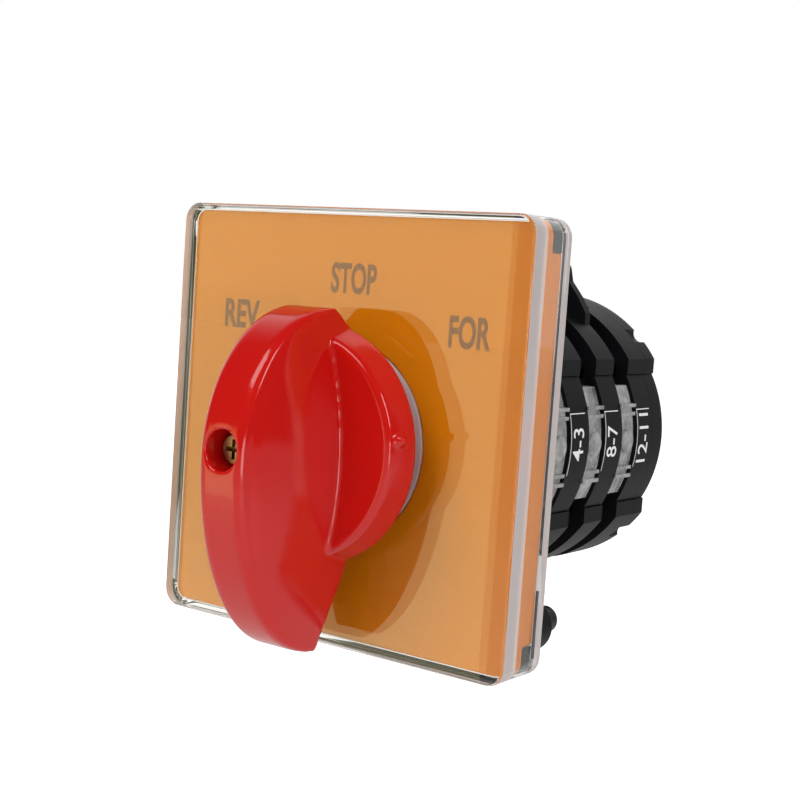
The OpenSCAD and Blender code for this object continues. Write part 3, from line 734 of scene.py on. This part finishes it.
def make_floor():
    """A pale floor that the camera sees a little brighter than its light makes it."""
    def build(shape):
        level = cad_box[0][2] - FLOOR_DROP
        corners = ((-1, -1), (1, -1), (1, 1), (-1, 1))
        shape.faces.new([shape.verts.new((x * FLOOR_HALF, y * FLOOR_HALF, level)) for x, y in corners])

    floor = new_piece("floor", mesh_from("floor", build))
    material = surfaced_material("pale floor", (0.93, 0.93, 0.93), 0.8, tone=0.01, bump=0.0)
    shader = material.node_tree.nodes["Principled BSDF"]
    path = material.node_tree.nodes.new("ShaderNodeLightPath")
    shader.inputs["Emission Color"].default_value = (1, 1, 1, 1)
    glow = material.node_tree.nodes.new("ShaderNodeMath")
    glow.operation = "MULTIPLY"
    glow.inputs[1].default_value = FLOOR_GLOW
    material.node_tree.links.new(path.outputs["Is Camera Ray"], glow.inputs[0])
    material.node_tree.links.new(glow.outputs[0], shader.inputs["Emission Strength"])
    floor.data.materials.append(material)


def make_world(strength, dim):
    """White behind the object, dim for mirrors that look elsewhere, and a plain light of its own strength."""
    world = bpy.data.worlds.new("studio")
    world.use_nodes = True
    nodes, links = world.node_tree.nodes, world.node_tree.links
    sky = nodes["Background"]
    sky.inputs["Color"].default_value = (1, 1, 1, 1)
    path = nodes.new("ShaderNodeLightPath")
    seen = nodes.new("ShaderNodeMath")
    seen.operation = "MAXIMUM"
    links.new(path.outputs["Is Camera Ray"], seen.inputs[0])
    links.new(path.outputs["Is Transmission Ray"], seen.inputs[1])
    way = nodes.new("ShaderNodeTexCoord")
    facing = nodes.new("ShaderNodeVectorMath")
    facing.operation = "DOT_PRODUCT"
    facing.inputs[1].default_value = BACKDROP_WAY
    links.new(way.outputs["Generated"], facing.inputs[0])
    mirrored = nodes.new("ShaderNodeMapRange")
    mirrored.interpolation_type = "SMOOTHSTEP"
    mirrored.inputs["From Min"].default_value = 0.2
    mirrored.inputs["From Max"].default_value = 0.8
    mirrored.inputs["To Min"].default_value = dim
    links.new(facing.outputs["Value"], mirrored.inputs["Value"])
    level = nodes.new("ShaderNodeMix")
    links.new(path.outputs["Is Glossy Ray"], level.inputs[0])
    level.inputs[2].default_value = strength
    links.new(mirrored.outputs["Result"], level.inputs[3])
    either = nodes.new("ShaderNodeMath")
    either.operation = "MAXIMUM"
    links.new(seen.outputs[0], either.inputs[0])
    links.new(level.outputs[0], either.inputs[1])
    links.new(either.outputs[0], sky.inputs["Strength"])
    scene.world = world


make_floor()
make_world(strength=0.55, dim=0.05)
print("floor at", round(cad_box[0][2] - FLOOR_DROP, 3), "m, backdrop towards", BACKDROP_WAY)

# %% Lamps
def area_lamp(name, place, aim, size, radiance, color=(1, 1, 1)):
    """A rectangular lamp whose surface shines with the given radiance."""
    data = bpy.data.lights.new(name, "AREA")
    data.shape = "RECTANGLE"
    data.size, data.size_y = size
    data.energy = radiance * math.pi * size[0] * size[1]
    data.color = color
    lamp = bpy.data.objects.new(name, data)
    way = Vector(aim) - Vector(place)
    lamp.matrix_world = Matrix.Translation(place) @ way.to_track_quat("-Z", "Y").to_matrix().to_4x4()
    scene.collection.objects.link(lamp)
    print("lamp:", name)


VEIL_DISTANCE = 0.30
COVER_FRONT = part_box("cover")[0][1]
MIRRORED = Vector((CAMERA_PLACE.x, 2 * COVER_FRONT - CAMERA_PLACE.y, CAMERA_PLACE.z))


def mirrored_place(x, z):
    """Where a camera ray goes that the cover's face reflects at (x, z), at the veil panel's distance."""
    point = Vector((x, COVER_FRONT, z))
    way = point - MIRRORED
    return point + way * (VEIL_DISTANCE / -way.y)


low = mirrored_place(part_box("cover")[0][0] - 2 * MM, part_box("cover")[0][2] - 2 * MM)
high = mirrored_place(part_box("cover")[1][0] - 3.6 * MM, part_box("cover")[1][2] + 2 * MM)
middle = (low + high) / 2
area_lamp(
    "veil panel", middle, middle + Vector((0, 1, 0)), (high.x - low.x, high.z - low.z), 1.4,
    (1.0, 0.95, 0.40))
area_lamp("key", (-0.12, -0.40, 0.50), (0, 0, 0), (0.40, 0.30), 4.4)
area_lamp("side", (0.55, -0.10, 0.35), (0, 0.02, 0), (0.12, 0.30), 8.0)
area_lamp("low fill", (0.42, -0.34, -0.04), (0, 0, 0), (0.22, 0.14), 4.0)

scene.view_settings.view_transform = "Standard"

# %% Finish
print("CAD box", [list(c) for c in cad_box])
